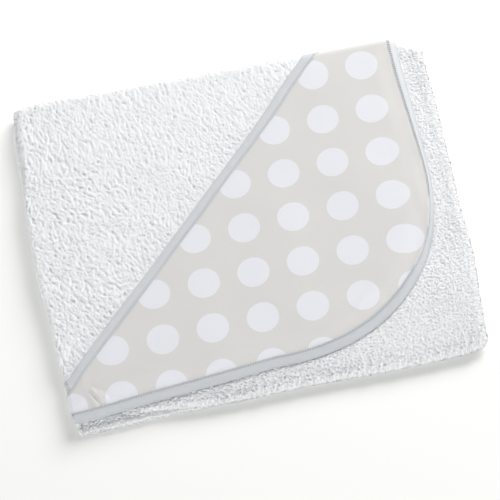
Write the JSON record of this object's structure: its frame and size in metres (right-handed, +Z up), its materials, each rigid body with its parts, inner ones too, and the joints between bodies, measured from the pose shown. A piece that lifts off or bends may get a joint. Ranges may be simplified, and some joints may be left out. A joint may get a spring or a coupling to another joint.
{
  "type": "hooded baby towel",
  "caption": "White terry baby towel with a dotted, tape-bound corner hood, folded into quarters and lying flat with the hood on top.",
  "frame": {"origin": "centre of the folded pack's footprint, on the surface it lies on", "axes": "+X from the left fold to the open right side, +Y from the open front to the back fold, +Z up through the plies"},
  "size_m": [0.382, 0.3292, 0.0192],
  "materials": {
    "terry": "white cotton loop pile, matte",
    "print": "greige woven cotton with white dots, matte",
    "lining": "plain off-white cotton, matte",
    "tape": "blue-grey bias tape, matte",
    "thread": "white sewing thread, slight sheen"
  },
  "bodies": {
    "upper_half": {"terry_upper_half": "terry", "hood_panel_left_wrap": "print", "front_binding_left_wrap": "tape", "hood_edge_binding": "tape", "edge_binding_thread": "thread", "overlock_upper_half": "thread"},
    "lower_half": {"terry_lower_half": "terry", "terry_back_fold": "terry", "overlock_lower_half": "thread", "overlock_back_fold": "thread", "hood_panel_back_wrap": "print", "front_binding_back_wrap": "tape", "edge_binding_back_wrap": "tape"},
    "hood": {"hood_panel": "print", "hood_lining": "lining", "hood_front_binding": "tape", "front_binding_thread": "thread"}
  },
  "joints": [
    {"name": "unfold_back", "type": "hinge", "parent": "lower_half", "child": "upper_half", "pos_m": [0, 0.1596, 0.00965], "axis": [-1, 0, 0], "range_deg": [0, 180], "deforming": ["terry_back_fold", "overlock_back_fold", "hood_panel_back_wrap", "front_binding_back_wrap", "edge_binding_back_wrap"]},
    {"name": "hood_open", "type": "hinge", "parent": "upper_half", "child": "hood", "pos_m": [0.127, -0.097, 0.0146], "axis": [0.7071, 0.7071, 0], "range_deg": [0, 25], "deforming": ["hood_panel_left_wrap", "front_binding_left_wrap"]}
  ]
}
